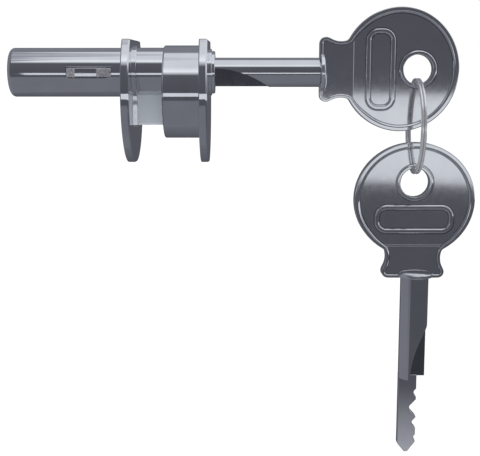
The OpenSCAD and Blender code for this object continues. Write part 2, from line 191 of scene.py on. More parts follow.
def trace(points, closed=True, sharp=32.0, flip=False):
    """Each point with the normal to the right of travel. A sharp corner is given twice."""
    kept = []
    for p in points:
        if not kept or (Vector(p) - Vector(kept[-1])).length > 1e-6:
            kept.append(p)
    if closed and (Vector(kept[0]) - Vector(kept[-1])).length < 1e-6:
        kept.pop()
    n = len(kept)
    steps = [Vector(kept[(i + 1) % n]) - Vector(kept[i]) for i in range(n)]
    side = -1 if flip else 1

    def normal(d):
        d = d.normalized()
        return Vector((d.y, -d.x)) * side

    rows = []
    for i, p in enumerate(kept):
        before = steps[i - 1] if closed or i > 0 else None
        after = steps[i] if closed or i < n - 1 else None
        if before is None or after is None:
            rows.append((Vector(p), normal(before or after)))
        elif before.angle(after) > math.radians(sharp):
            rows.append((Vector(p), normal(before)))
            rows.append((Vector(p), normal(after)))
        else:
            mix = normal(before) * before.length_squared + normal(after) * after.length_squared
            rows.append((Vector(p), mix.normalized()))
    return rows


def along_x(u, v, w):
    """Sections across the lock: u is Y, v is Z, w is X."""
    return Vector((w, u, v))


def along_y(u, v, w):
    """Sections of a key's bow: u is X, v is Z, w is Y."""
    return Vector((u, w, v))


class Shell:
    """Points, normals and faces of one piece, in millimetres."""

    def __init__(self):
        self.points = []
        self.normals = []
        self.faces = []
        self.paint = []

    def point(self, p, n):
        self.points.append(Vector(p))
        self.normals.append(Vector(n).normalized())
        return len(self.points) - 1

    def face(self, ids, paint=0):
        a, b, c = (self.points[i] for i in ids[:3])
        facing = (b - a).cross(c - a)
        if len(ids) == 4:
            facing = (c - a).cross(self.points[ids[3]] - b)
        if facing.length < 1e-9:
            return
        if facing.dot(sum((self.normals[i] for i in ids), Vector())) < 0:
            ids = ids[::-1]
        self.faces.append(tuple(ids))
        self.paint.append(paint)

    def grid(self, rows, closed=False, paint=0, skip=None):
        """Faces between rows of (point, normal)."""
        ids = [[self.point(p, n) for p, n in row] for row in rows]
        for a, b in zip(ids, ids[1:]):
            pairs = list(zip(range(len(a)), range(1, len(a))))
            if closed:
                pairs.append((len(a) - 1, 0))
            for i, j in pairs:
                corners = [a[i], a[j], b[j], b[i]]
                if skip and skip(sum((self.points[k] for k in corners), Vector()) / 4):
                    continue
                if (self.points[a[i]] - self.points[a[j]]).length < 1e-7:
                    corners = [a[i], b[j], b[i]]
                if (self.points[b[i]] - self.points[b[j]]).length < 1e-7:
                    corners = [a[i], a[j], b[j]]
                self.face(corners, paint)

    def sweep(self, loop, profile, place, closed=True, paint=0, skip=None):
        """A profile of (offset, height) carried round a loop. Both are traced lines."""
        rows = []
        for (d, w), pn in ((p, n) for p, n in profile):
            row = []
            for q, qn in loop:
                at = q + qn * d
                row.append((place(at.x, at.y, w), place(qn.x * pn.x, qn.y * pn.x, pn.y)))
            rows.append(row)
        self.grid(rows, closed, paint, skip)

    def cap(self, loops, w, facing, place, paint=0, height=None, extra=()):
        """A flat face inside the first loop and outside the others.

        Where height is given, it says w, the slope along u and the lean of the normal.
        """
        coords, edges = [], []
        for loop in loops:
            start = len(coords)
            coords += [Vector(p) for p in loop]
            n = len(loop)
            edges += [(start + i, start + (i + 1) % n) for i in range(n)]
        for line in extra:
            start = len(coords)
            coords += [Vector(p) for p in line]
            edges += [(start + i, start + i + 1) for i in range(len(line) - 1)]
        verts, _, tris, _, _, _ = delaunay_2d_cdt(coords, edges, [], 0, 1e-5)
        flat = np.array([tuple(v) for v in verts])
        mids = np.array([flat[list(t)].mean(axis=0) for t in tris])
        inside = np.zeros(len(mids), bool)
        for loop in loops:
            ring = np.array([tuple(p) for p in loop])
            nxt = np.roll(ring, -1, axis=0)
            y = mids[:, 1:2]
            crosses = (ring[:, 1] > y) != (nxt[:, 1] > y)
            rise = np.where(nxt[:, 1] == ring[:, 1], 1.0, nxt[:, 1] - ring[:, 1])
            x = ring[:, 0] + (y - ring[:, 1]) * (nxt[:, 0] - ring[:, 0]) / rise
            inside ^= (np.sum(crosses & (mids[:, 0:1] < x), axis=1) % 2).astype(bool)
        ids = []
        for u, v in flat:
            at, slope, tilt = height(u) if height else (w, 0.0, 0.0)
            ids.append(self.point(place(u, v, at), place(-slope * facing, tilt, facing)))
        for t, keep in zip(tris, inside):
            if keep:
                self.face([ids[i] for i in t], paint)

    def plate(self, loop, w0, w1, r0, r1, place, holes=(), paint=0):
        """A slab with rounded edges, and holes rounded with the same radii."""
        lows, highs = [], []
        for line in (loop, *holes):
            edge = rounded([(-1, w0, 0), (0, w0, r0), (0, w1, r1), (-1, w1, 0)], False, 15)[1:-1]
            self.sweep(line, trace([(-1, w0)] + edge + [(-1, w1)], False)[1:-1], place, paint=paint)
            lows.append(inset(line, r0))
            highs.append(inset(line, r1))
        self.cap(lows, w0, -1, place, paint)
        self.cap(highs, w1, 1, place, paint)

    def lathe(self, profile, x0, z0, paint=0, steps=96, skip=None, angles=None):
        """A profile of (radius, x) turned about an axis along X."""
        turns = angles or [math.tau * i / steps for i in range(steps)]
        loop = [(Vector((0, z0)), Vector((-math.cos(t), math.sin(t)))) for t in turns]
        line = [(Vector((r, x0 + x)), n) for (r, x), n in profile]
        self.sweep(loop, line, along_x, paint=paint, skip=skip)

    def build(self, name, materials, body, nodes, matrix=None):
        matrix = matrix or Matrix.Identity(4)
        turn = matrix.to_3x3()
        mesh = bpy.data.meshes.new(name)
        mesh.from_pydata([(matrix @ p) * MM for p in self.points], [], self.faces)
        for polygon, paint in zip(mesh.polygons, self.paint):
            polygon.material_index = paint
            polygon.use_smooth = True
        mesh.normals_split_custom_set_from_vertices([turn @ n for n in self.normals])
        piece = bpy.data.objects.new(name, mesh)
        bpy.context.scene.collection.objects.link(piece)
        for material in materials:
            mesh.materials.append(material)
        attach(piece, body)
        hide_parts(*nodes)
        return piece


def inset(loop, d, share=None):
    """The points of a traced loop, moved into the material. The share of the way can change along u."""
    points = []
    for p, n in loop:
        at = p - n * d * (share(p.x) if share else 1.0)
        if not points or (at - points[-1]).length > 1e-4:
            points.append(at)
    if (points[0] - points[-1]).length < 1e-4:
        points.pop()
    return points


def circle_loop(cu, cv, r, hole=False, step=3.0):
    return trace(arc(cu, cv, r, 0, 360, step), flip=hole)


def flange_loop():
    """A disc with a flat on top and small rounds where they meet."""
    fillet = 0.8
    cu = math.sqrt((FLANGE_R - fillet) ** 2 - (FLANGE_FLAT - fillet) ** 2)
    cv = FLANGE_FLAT - fillet
    corner = math.degrees(math.atan2(cv, cu))
    around = arc(0, 0, FLANGE_R, 180 - corner, 360 + corner, 2.0)
    return trace(arc(cu, cv, fillet, corner, 90, 6) + arc(-cu, cv, fillet, 90, 180 - corner, 6) + around)


def flange_edge(shell, loop, x):
    """Edge of a flange, rounded behind and bevelled in front."""
    front = x + FLANGE_T
    corners = [(-1, x, 0), (0, x, EDGE_R), (0, front - BEVEL_BACK, 0.1)]
    corners += [(-BEVEL_IN, front, 0.08), (-1, front, 0)]
    shell.sweep(loop, trace(rounded(corners, False, 12), False)[1:-1], along_x)
    return inset(loop, EDGE_R), inset(loop, FRONT_INSET)


def channel(slot_top):
    """Slot of the guide pin and bore of the return spring, below the plunger's bore."""
    turn = math.degrees(math.asin(SLOT_Y / SPRING_R))
    around = arc(0, SPRING_Z, SPRING_R, 90 + turn, 450 - turn, 8)
    return [(-SLOT_Y, slot_top)] + around + [(SLOT_Y, slot_top)]


def keyhole_loop(r, y, bottom, corner):
    """Outline of the lip: a round part about the plunger and a block below it."""
    meet = math.degrees(math.asin(y / r))
    block = rounded([(-y, 0, 0), (-y, bottom, corner), (y, bottom, corner), (y, 0, 0)], False)[1:-1]
    return trace(block + arc(0, AXIS_Z, r, -90 + meet, 270 - meet, 3))


def noise(tree, coords, scale, detail=2.0):
    node = tree.nodes.new("ShaderNodeTexNoise")
    node.inputs["Scale"].default_value = scale
    node.inputs["Detail"].default_value = detail
    tree.links.new(coords, node.inputs["Vector"])
    return node.outputs["Fac"]


def spread(tree, value, low, high):
    node = tree.nodes.new("ShaderNodeMapRange")
    node.inputs["From Min"].default_value = 0.3
    node.inputs["From Max"].default_value = 0.7
    node.inputs["To Min"].default_value = low
    node.inputs["To Max"].default_value = high
    tree.links.new(value, node.inputs["Value"])
    return node.outputs["Result"]


# A finish that is drawn out in no direction
EVEN = (1, 1, 1)


def metal(name, dark, light, rough, waves=0.0, grain=0.0, dents=0.0, tone=220.0, plate=1.0, drawn=EVEN):
    """Plated or worn metal: the tint, the gloss and the surface all vary a little."""
    material = bpy.data.materials.new(name)
    material.use_nodes = True
    tree = material.node_tree
    shader = tree.nodes["Principled BSDF"]
    shader.inputs["Metallic"].default_value = plate
    coords = tree.nodes.new("ShaderNodeTexCoord").outputs["Object"]
    if drawn != EVEN:
        stretch = tree.nodes.new("ShaderNodeMapping")
        stretch.inputs["Scale"].default_value = drawn
        tree.links.new(coords, stretch.inputs["Vector"])
        coords = stretch.outputs["Vector"]
    ramp = tree.nodes.new("ShaderNodeValToRGB")
    ramp.color_ramp.elements[0].position = 0.3
    ramp.color_ramp.elements[0].color = (*dark, 1)
    ramp.color_ramp.elements[1].position = 0.7
    ramp.color_ramp.elements[1].color = (*light, 1)
    tree.links.new(noise(tree, coords, tone, 3.0), ramp.inputs["Fac"])
    tree.links.new(ramp.outputs["Color"], shader.inputs["Base Color"])
    tree.links.new(spread(tree, noise(tree, coords, 900, 4.0), *rough), shader.inputs["Roughness"])
    last = None
    for strength, scale, depth in ((waves, 260, 1.0), (dents, 800, 1.0), (grain, 5200, 3.0)):
        if strength:
            bump = tree.nodes.new("ShaderNodeBump")
            bump.inputs["Strength"].default_value = strength
            bump.inputs["Distance"].default_value = 0.0001
            tree.links.new(noise(tree, coords, scale, depth), bump.inputs["Height"])
            if last:
                tree.links.new(last, bump.inputs["Normal"])
            last = bump.outputs["Normal"]
    if last:
        tree.links.new(last, shader.inputs["Normal"])
    return material


NICKEL = metal(
    "nickel", (0.68, 0.69, 0.71), (0.73, 0.74, 0.75), (0.03, 0.05),
    waves=0.010, grain=0.004,
)
NICKEL_KEY = metal(
    "nickel_key", (0.68, 0.69, 0.70), (0.73, 0.74, 0.74), (0.06, 0.08),
    waves=0.0012, grain=0.002,
)
SATIN = metal(
    "satin_cast", (0.83, 0.90, 0.98), (0.88, 0.94, 1.00), (0.45, 0.55),
    grain=0.12, plate=0.15,
)
LIP = metal(
    "cast_lip", (0.74, 0.75, 0.77), (0.82, 0.83, 0.84), (0.08, 0.14),
    dents=0.6, drawn=(0.5, 1.0, 0.6),
)
TURNED = metal(
    "turned_nose", (0.68, 0.69, 0.71), (0.78, 0.79, 0.80), (0.06, 0.10),
    dents=1.0, drawn=(1.6, 0.45, 0.45),
)
SOLDER = metal("root_fillet", (0.78, 0.79, 0.81), (0.86, 0.87, 0.88), (0.16, 0.24), dents=0.1)
# Painted shade: a dark finish for the narrow row where a rim or bead meets the sunk face, standing in for
# the shade in that corner.
CORNER_SHADE = metal("painted_corner_shade", (0.26, 0.26, 0.28), (0.34, 0.34, 0.36), (0.10, 0.16), grain=0.02)
# Painted shade: the milled cut is darker than the plated key, standing in for the shade inside the concave
# cut.
MILLED_CUT_SHADE = metal("milled_cut_painted_shade", (0.30, 0.30, 0.32), (0.36, 0.36, 0.38), (0.04, 0.06), grain=0.006)
GROUND = metal(
    "ground_steel", (0.62, 0.63, 0.65), (0.72, 0.73, 0.75), (0.06, 0.10),
    waves=0.008, grain=0.004,
)
WORN = metal(
    "worn_steel", (0.42, 0.42, 0.44), (0.86, 0.86, 0.88), (0.34, 0.50),
    grain=0.8, tone=2600, plate=0.7,
)
BRASS = metal(
    "turned_brass", (0.66, 0.50, 0.24), (0.76, 0.60, 0.32), (0.18, 0.28),
    waves=0.05, grain=0.1,
)
SPRING = metal("spring_wire", (0.32, 0.33, 0.36), (0.42, 0.43, 0.46), (0.22, 0.32), grain=0.1)
WIRE = metal(
    "ring_wire", (0.74, 0.75, 0.77), (0.82, 0.83, 0.84), (0.20, 0.28),
    waves=0.01, plate=0.72,
)


def casting():
    """Front flange, drum and web."""
    shell = Shell()
    outer = flange_loop()
    back, front = flange_edge(shell, outer, 0.0)
    drum = circle_loop(0, 0, DRUM_R, step=2.5)
    mouth = circle_loop(0, AXIS_Z, BORE_R, True)
    shell.cap([back, inset(drum, 0)], 0, -1, along_x)
    shell.cap([front, inset(mouth, EDGE_R)], FLANGE_T, 1, along_x)
    lip = rounded([(0, SLOT_END, 0), (0, FLANGE_T, EDGE_R), (-1, FLANGE_T, 0)], False, 15)
    shell.sweep(mouth, trace(lip, False)[:-1], along_x)
    edge = rounded([(-1, -DRUM_L, 0), (0, -DRUM_L, DRUM_EDGE), (0, OVERLAP, 0)], False, 12)
    shell.sweep(drum, trace(edge, False)[1:], along_x)
    slot = math.degrees(math.asin(SLOT_Y / BORE_R))
    slot_top = AXIS_Z - math.sqrt(BORE_R**2 - SLOT_Y**2)
    around = arc(0, AXIS_Z, BORE_R, -90 + slot, 270 - slot, 3)
    bore = trace(around + channel(slot_top), flip=True)
    length = trace([(0, PLATE_X), (0, SLOT_END)], False)
    shell.sweep(bore, length, along_x, skip=lambda p: p.x < -DRUM_L and p.z > 0)
    shell.cap([inset(drum, DRUM_EDGE), inset(bore, 0)], -DRUM_L, -1, along_x)
    roof = arc(0, AXIS_Z, BORE_R, -90 + slot, -90 - slot, 3)
    shell.cap([roof + channel(slot_top)[1:-1]], SLOT_END, -1, along_x)
    saddle = math.degrees(math.asin(WEB_Y / BORE_R))
    feet = [(-WEB_Y, WEB_BOTTOM, WEB_EDGE), (WEB_Y, WEB_BOTTOM, WEB_EDGE)]
    side = rounded([(-WEB_Y, 0, 0), *feet, (WEB_Y, 0, 0)], False)
    right = arc(0, AXIS_Z, BORE_R, -90 + saddle, -90 + slot, 3)
    left = arc(0, AXIS_Z, BORE_R, -90 - slot, -90 - saddle, 3)
    top = AXIS_Z - math.sqrt(BORE_R**2 - WEB_Y**2)
    walls = trace([(-WEB_Y, top)] + side[1:-1] + [(WEB_Y, top)], False)
    web_length = trace([(0, PLATE_X), (0, -DRUM_L + OVERLAP)], False)
    for line in (walls, trace(left, False), trace(right, False)):
        shell.sweep(line, web_length, along_x, closed=False, paint=1)
    outline = side[1:-1] + right + channel(slot_top)[-2:0:-1] + left
    shell.cap([outline], PLATE_X, -1, along_x, paint=1)
    shell.build("lock_casting", [NICKEL, SATIN], "housing", ["lock_body"])


def rear_flange():
    """Rear plate with its raised lip and the countersink for the screw."""
    shell = Shell()
    back = PLATE_X - FLANGE_T
    outer = flange_loop()
    bore = circle_loop(0, AXIS_Z, BORE_R, True)
    sink = circle_loop(0, SCREW_Z, SINK_R, True, 8)
    low, high = flange_edge(shell, outer, back)
    lip_front = PLATE_X + LIP_T
    shell.sweep(bore, trace([(-BORE_BREAK, back), (0, back + BORE_BREAK), (0, lip_front)], False), along_x)
    shell.sweep(sink, trace([(-SINK_DEPTH, back), (0, back + SINK_DEPTH), (0, PLATE_X)], False), along_x)
    shell.cap([low, inset(bore, BORE_BREAK), inset(sink, SINK_DEPTH)], back, -1, along_x)
    lip = keyhole_loop(LIP_R, LIP_Y, LIP_BOTTOM, LIP_CORNER)
    shell.cap([high, inset(lip, 0)], PLATE_X, 1, along_x)
    wall = rounded([(0.0, PLATE_X, 0), (0, lip_front, LIP_EDGE), (-LIP_W, lip_front, 0)], False, 15)
    shell.sweep(lip, trace(wall, False), along_x, paint=1)
    shell.sweep(lip, trace([(-LIP_W, lip_front), (-LIP_W, PLATE_X)], False), along_x, paint=1)
    shell.build("rear_flange", [NICKEL, LIP], "housing", ["rear_plate"])


def plunger():
    """Round plunger with a rounded tip and a window for the lug."""
    shell = Shell()
    half = LUG_HALF + LUG_GAP
    mouth = half + WINDOW_EDGE
    low, high = LUG_BACK - LUG_GAP, LUG_FRONT + LUG_GAP
    reach = math.asin(mouth / PLUNGER_R)
    n = 88
    angles = [reach + (math.tau - 2 * reach) * i / n for i in range(n + 1)]
    angles += [-reach + 2 * reach * i / 6 for i in range(1, 6)]

    def window(p):
        return low < p.x < high and p.y < 0 and abs(p.z - AXIS_Z) < mouth

    tip = rounded([(0, PLUNGER_TIP, 0), (PLUNGER_R, PLUNGER_TIP, TIP_R), (PLUNGER_R, low, 0)], False, 7)
    tip += [(PLUNGER_R, high)]
    front = [(PLUNGER_R, high, 0), (PLUNGER_R, PLUNGER_FRONT, FRONT_EDGE), (SLEEVE_R, PLUNGER_FRONT, 0)]
    tip += rounded(front, False)[1:]
    tip[0] = (AXIS_GAP, PLUNGER_TIP)
    shell.lathe(trace(tip, False), 0, AXIS_Z, angles=angles, skip=window)

    def inner(p):
        return low < p.x < high and p.y < 0 and abs(p.z - AXIS_Z) < half

    bore = [(SLEEVE_R, x) for x in (PLUNGER_FRONT, high, low, SLEEVE_END)]
    bore.append((AXIS_GAP, SLEEVE_END))
    reach_in = math.asin(half / SLEEVE_R)
    angles = [reach_in + (math.tau - 2 * reach_in) * i / 72 for i in range(73)]
    angles += [-reach_in + 2 * reach_in * i / 6 for i in range(1, 6)]
    shell.lathe(trace(bore, False), 0, AXIS_Z, angles=angles, skip=inner)
    z0, z1 = AXIS_Z - half, AXIS_Z + half
    y0 = -math.sqrt(PLUNGER_R**2 - mouth**2)
    y1 = -math.sqrt(SLEEVE_R**2 - half**2)
    for z, up in ((z0, 1), (z1, -1)):
        rows = []
        for i in range(7):
            t = math.radians(15 * i)
            y = y0 + WINDOW_EDGE * (1 - math.cos(t))
            at = z - up * WINDOW_EDGE * (1 - math.sin(t))
            n = (0, -math.cos(t), up * math.sin(t))
            rows.append([((low, y, at), n), ((high, y, at), n)])
        rows.append([((low, y1, z), n), ((high, y1, z), n)])
        shell.grid(rows)
    for x, way in ((low, 1), (high, -1)):
        n = (way, 0, 0)
        rows = []
        for r, reach_z in ((PLUNGER_R, mouth), (SLEEVE_R, half)):
            zs = [-reach_z + 2 * reach_z * i / 6 for i in range(7)]
            rows.append([((x, -math.sqrt(r * r - z * z), AXIS_Z + z), n) for z in zs])
        shell.grid(rows)
    shell.build("plunger", [NICKEL], "plunger", ["plunger_sleeve"])


def nose():
    """Stepped ring at the front of the plunger, pressed into it."""
    shell = Shell()
    bore_r, press_r, rim_r, face_r = 3.1, 3.59, 4.75, 4.35
    back, step, face = 0.4, 2.3, 2.95
    corners = [
        (bore_r, back, 0),
        (press_r, back, 0.1),
        (press_r, PLUNGER_FRONT, 0),
        (rim_r, PLUNGER_FRONT, 0.12),
        (rim_r, step, 0.14),
        (face_r, step, 0.05),
        (face_r, face, 0.2),
        (bore_r, face, 0.12),
        (bore_r, back, 0),
    ]
    shell.lathe(trace(rounded(corners, False), False), 0, AXIS_Z)
    shell.build("nose_ring", [TURNED], "plunger", ["nose_cap"])


def lug():
    """Sprung bar in the plunger's window: a polished crown between worn slopes."""
    shell = Shell()
    edge_r, half = LUG_EDGE, LUG_HALF
    back_slope, front_slope = 1.65, 2.8
    line = [(LUG_BACK, LUG_END, 0), (LUG_BACK + back_slope, LUG_CREST, LUG_BEND)]
    line += [(LUG_FRONT - front_slope, LUG_CREST, LUG_BEND), (LUG_FRONT, LUG_END, 0)]
    line = rounded(line, False, 4)
    dense = []
    for (x0, h0), (x1, h1) in zip(line, line[1:]):
        n = max(1, int((x1 - x0) / 0.35))
        dense += [(x0 + (x1 - x0) * i / n, h0 + (h1 - h0) * i / n) for i in range(n)]
    dense.append(line[-1])
    top = [(p, -n) for p, n in trace(dense, False)]
    across = []
    for i in range(-8, 9):
        z = (half - edge_r) * i / 8
        across.append((z, z * z / 16, z / 8, 1.0))
    left, right = [], []
    for i in range(1, 7):
        t = math.radians(15 * i)
        drop = across[-1][1] + edge_r * (1 - math.cos(t))
        right.append((half - edge_r + edge_r * math.sin(t), drop, math.sin(t), math.cos(t)))
        left.append((-half + edge_r - edge_r * math.sin(t), drop, -math.sin(t), math.cos(t)))
    across = left[::-1] + across + right
    rows = []
    for (x, h), n in top:
        row = []
        for z, drop, side, up in across:
            row.append(((x, -h + drop, AXIS_Z + z), (n.x * up, -n.y * up, side)))
        row.insert(0, ((x, LUG_FOOT, AXIS_Z - half), (0, 0, -1)))
        row.append(((x, LUG_FOOT, AXIS_Z + half), (0, 0, 1)))
        rows.append(row)
    crown = (LUG_BACK + 1.9, LUG_FRONT - 3.0)
    for a, b in zip(rows, rows[1:]):
        mid = (a[0][0][0] + b[0][0][0]) / 2
        shell.grid([a, b], paint=0 if crown[0] < mid < crown[1] else 1)
    for x, way, row in ((LUG_BACK, -1, rows[0]), (LUG_FRONT, 1, rows[-1])):
        outline = [(p[2], p[1]) for p, _ in row]
        shell.cap([outline], x, way, lambda u, v, w: Vector((w, v, u)), paint=1)
    x0, x1, y0 = LUG_BACK - 0.4, LUG_FRONT + 0.4, LUG_FOOT - 0.4
    foot = trace([(x0, y0), (x1, y0), (x1, LUG_FOOT), (x0, LUG_FOOT)])
    place = lambda u, v, w: Vector((u, v, AXIS_Z + w))
    shell.plate(foot, -1.61, 1.61, 0.05, 0.05, place, paint=1)
    shell.build("lug_bar", [GROUND, WORN], "lug", ["locking_lug"])


def lug_leaf():
    """Bowed leaf behind the lug; in the real lock it flattens as the lug is pressed in, here it keeps one
    shape.
    """
    shell = Shell()
    thick, half_w, crown = 0.15, 0.9, LUG_FOOT + 0.03
    middle, half_l = (LUG_BACK + LUG_FRONT) / 2, 3.82
    rise = LEAF_SEAT - thick - crown
    line = []
    for i in range(25):
        s = -1 + i / 12
        line.append((middle + half_l * s, crown + rise * s * s))
    outline = trace(line + [(x, y + thick) for x, y in line[::-1]])
    place = lambda u, v, w: Vector((u, v, AXIS_Z + w))
    shell.plate(outline, -half_w, half_w, 0.02, 0.02, place)
    leaf = shell.build("lug_leaf", [SPRING], "plunger", ["lug_spring"])
    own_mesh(leaf)


def smooth_loop(points, step=0.2, width=0.3):
    """A closed line cut into even steps, with its corners softened."""
    ring = np.array(points + [points[0]])
    run = np.concatenate([[0], np.cumsum(np.linalg.norm(np.diff(ring, axis=0), axis=1))])
    n = int(run[-1] / step)
    even = np.linspace(0, run[-1], n, endpoint=False)
    line = np.stack([np.interp(even, run, ring[:, i]) for i in (0, 1)], axis=1)
    reach = int(3 * width / step)
    weights = np.exp(-0.5 * (np.arange(-reach, reach + 1) * step / width) ** 2)
    weights /= weights.sum()
    soft = sum(w * np.roll(line, k, axis=0) for k, w in zip(range(-reach, reach + 1), weights))
    return [tuple(p) for p in soft]


def bow_outline():
    """Waisted neck and oval bow."""
    hollow_x, hollow_z, hollow_r = 4.4, -9.95, 4.2
    meet_x, meet_z = 6.06, -6.09
    start = math.degrees(math.atan2(meet_z / BOW_B, (meet_x - BOW_X) / BOW_A)) + 360
    oval = [(BOW_X + BOW_A * u, BOW_B * v) for u, v in arc(0, 0, 1, start, 360, 1)]
    stop = math.degrees(math.atan2(meet_z - hollow_z, meet_x - hollow_x))
    half = [(0.0, 0.0)] + arc(1.3, -5.35, 1.3, 180, 304, 6)
    half += arc(hollow_x, hollow_z, hollow_r, 124, stop, 3) + oval
    upper = [(x, -z) for x, z in half[:0:-1]]
    return [(x, z + BOW_RISE) for x, z in smooth_loop(half + upper)]


def field(u):
    """Height and slope of the sunk face of a bow, with the step across the neck."""
    t = min(1.0, max(0.0, (u - STEP_X + 0.2) / 0.4))
    drop = (NECK_FIELD - FIELD) * (1 - math.cos(math.pi * t)) / 2
    slope = -(NECK_FIELD - FIELD) * math.pi / 0.8 * math.sin(math.pi * t)
    return NECK_FIELD - drop, slope


def sunk_face(u, side):
    """The sunk face on one side of a bow; round the neck it leans up a little."""
    at, slope = field(u)
    return side * at, side * slope, NECK_TILT if u < STEP_X else 0.0


def bow_share(u):
    """The border of a bow is narrower round the neck."""
    return NECK_RIM + (1 - NECK_RIM) * ease(u, 5.0, 9.5)


def raised(shell, loop, profile, side, dark=(), share=None):
    """A border or ridge along a loop, from rows of (offset, height, lean).

    Lean is the slope inwards, or None for an upright wall.
    """
    rows = []
    for d, w, lean in profile:
        row = []
        for p, n in loop:
            at = p - n * d * (share(p.x) if share else 1.0)
            base, _ = field(at.x)
            up = 0.0 if lean is None else 1.0
            tilt = 1.0 if lean is None else lean
            normal = along_y(n.x * tilt, n.y * tilt, side * up)
            row.append((along_y(at.x, at.y, side * w(base)), normal))
        rows.append(row)
    for i, pair in enumerate(zip(rows, rows[1:])):
        # Rows listed in dark take the third finish, the painted corner shade.
        shell.grid(pair, True, paint=2 if i in dark else 0)


def rim(shell, loop, width, side, crest, edge=0.2, land=RIM_LAND, share=None):
    """The border of a bow or of its hole: a rounded edge, a land, a fall and painted shade in the corner
    at its foot.
    """
    profile = [(0.0, lambda base: 0.0, None)]
    for i in range(9):
        t = math.radians(90 * i / 8)
        height = crest - edge + edge * math.sin(t)
        lean = math.cos(t) / max(1e-3, math.sin(t))
        profile.append((edge * (1 - math.cos(t)), lambda base, h=height: h, lean))
    for i in range(13):
        s = i / 12
        steep = 2 * s / (width - land) * (crest - FIELD)
        offset = land + (width - land) * s
        profile.append((offset, lambda base, f=s * s: crest + (base - crest) * f, -steep))
    profile.append((width, lambda base: base, 0.0))
    profile.append((width + FOOT_W, lambda base: base, 0.0))
    # The foot row is painted dark as the shade in the corner.
    raised(shell, loop, profile, side, dark=(len(profile) - 2,), share=share)


def bead(shell, loop, d0, d1, top, side):
    """A ridge with a flat crest along a loop, standing on the sunk face, with painted shade at its feet.
    """
    flank = 0.3
    profile = [(d0 - FOOT_W, lambda base: base, 0.0), (d0, lambda base: base, 0.0)]
    for i in range(25):
        t = i / 24
        s = min(1.0, t / flank, (1 - t) / flank)
        lift = s * (2 - s) * top
        lean = 2 * (1 - s) / flank / (d1 - d0) * top * (1 if t < 0.5 else -1)
        profile.append((d0 + (d1 - d0) * t, lambda base, h=lift: base + h, lean))
    profile += [(d1, lambda base: base, 0.0), (d1 + FOOT_W, lambda base: base, 0.0)]
    # The rows at both feet are painted dark as the shade in the corners.
    raised(shell, loop, profile, side, dark=(0, len(profile) - 2))


def across_bow(edge, u):
    """A line of points across the sunk face of a bow, from border to border."""
    pairs = zip(edge, edge[1:] + edge[:1])
    half = min(abs(a.y - BOW_RISE) for a, b in pairs if min(a.x, b.x) <= u <= max(a.x, b.x)) - 0.05
    return [(u, BOW_RISE + half * i / 14) for i in range(-14, 15)]


def bow(shell):
    outline = trace(bow_outline(), sharp=60)
    hole = circle_loop(HOLE_X, BOW_RISE, HOLE_R, True, 4)
    half_l, half_w, corner = 8.2, 2.875, 2.4
    box = [(-half_w, -half_l), (half_w, -half_l), (half_w, half_l), (-half_w, half_l)]
    box = rounded([(OBLONG_X + u, BOW_RISE + v, corner) for u, v in box], step=7)
    oblong = trace(box)
    low, high = -0.15, 0.85
    hole_w = 0.85
    for side in (-1, 1):
        rim(shell, outline, RIM_W, side, BOW_HALF, share=bow_share)
        rim(shell, hole, hole_w, side, BOW_HALF - 0.02, 0.15, 0.5)
        bead(shell, oblong, low, high, 0.22, side)
        edge = inset(outline, RIM_W + FOOT_W, bow_share)
        step = [across_bow(edge, STEP_X + 0.1 * k) for k in (-2, -1, 0, 1, 2)]
        loops = [edge, inset(hole, hole_w + FOOT_W), inset(oblong, low - FOOT_W)]
        shell.cap(loops, 0, side, along_y, height=lambda u: sunk_face(u, side), extra=step)
        shell.cap([inset(oblong, high + FOOT_W)], side * FIELD, side, along_y)


def shank(shell):
    """Round shank with the milled run-out, and the soldered collar where it enters the bow."""
    foot = -math.sqrt(SHANK_R**2 - MILL_Y**2)

    def ceiling(x):
        return MILL_CENTRE_Z + math.sqrt(MILL_R**2 - (x + SHANK_L) ** 2)

    stations = [-SHANK_L + (SHANK_L + MILL_LAST) * i / 28 for i in range(29)]
    circle, roof, wall = [], [], []
    low = math.atan2(foot, MILL_Y)
    for x in stations:
        z = max(foot, ceiling(x))
        near = -math.sqrt(SHANK_R**2 - z * z)
        end = math.atan2(z, near) % math.tau
        turns = [low + (end - low) * i / 64 for i in range(65)]
        row = []
        for t in turns:
            n = (0, math.cos(t), math.sin(t))
            row.append(((x, SHANK_R * n[1], SHANK_R * n[2]), n))
        circle.append(row)
        lean = (x + SHANK_L) / MILL_R
        n = (-lean, 0, -math.sqrt(1 - lean * lean))
        roof.append([((x, near + (MILL_Y - near) * i / 6, z), n) for i in range(7)])
        wall.append([((x, MILL_Y, z), (0, -1, 0)), ((x, MILL_Y, foot), (0, -1, 0))])
    turns = [-math.pi / 2 + math.tau * i / 64 for i in range(65)]
    ring = [((SHANK_R * math.cos(t), SHANK_R * math.sin(t)), (0, math.cos(t), math.sin(t))) for t in turns]
    circle.append([((MILL_END, *p), n) for p, n in ring])
    circle.append([((-OVERLAP, *p), n) for p, n in ring])
    roof.append([((MILL_END, 0, -SHANK_R), roof[-1][0][1])] * 7)
    shell.grid(circle)
    # The roof and wall of the milled cut take the darker colour of painted shade.
    shell.grid(roof, paint=1)
    shell.grid(wall, paint=1)
    end = [(p[1], p[2]) for p, _ in circle[0]] + [(MILL_Y, ceiling(-SHANK_L))]
    shell.cap([end], -SHANK_L, -1, along_x)
    neck = [(SHANK_R, -OVERLAP, 0), (SHANK_R, 0.05, 0.1), (COLLAR_IN, 0.05, 0), (COLLAR_IN, 0.5, 0)]
    shell.lathe(trace(rounded(neck, False, 15), False), 0, 0)
    collar = [(COLLAR_IN, 0.16)] + arc(3.74, 0.36, 0.2, -90, 0, 15)
    collar += [(1.0 + 2.94 * u, 0.78 + 0.8 * v) for u, v in arc(0, 0, 1, 0, 88, 6)]
    shell.lathe(trace(collar, False), 0, 0, paint=3)


